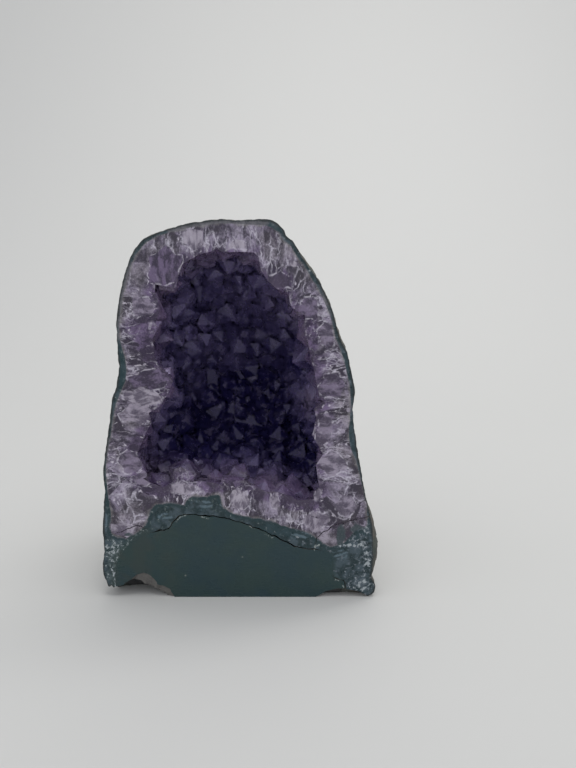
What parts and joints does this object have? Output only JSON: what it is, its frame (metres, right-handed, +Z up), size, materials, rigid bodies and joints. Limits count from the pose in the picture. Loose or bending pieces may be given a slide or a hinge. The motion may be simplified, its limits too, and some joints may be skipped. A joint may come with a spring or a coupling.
{
  "type": "amethyst geode",
  "caption": "Standing amethyst geode, sawn and polished across its hollow, with a crystal-lined cavity in a rough green rind and a dark basalt lens set in its flat foot.",
  "frame": {"origin": "centre of the bounding box in plan, on the plane the stone stands on", "axes": "+Z up, the sawn and polished face looks along -Y, +X to the viewer's right"},
  "size_m": [0.1556, 0.1052, 0.2058],
  "materials": {
    "rind": "rough outside, polished where sawn",
    "amethyst": "bright crystal faces, polished where sawn",
    "basalt": "polished"
  },
  "bodies": {
    "root": {"rind": "rind", "crystal_crust": "amethyst", "base_rock": "basalt"}
  },
  "joints": []
}
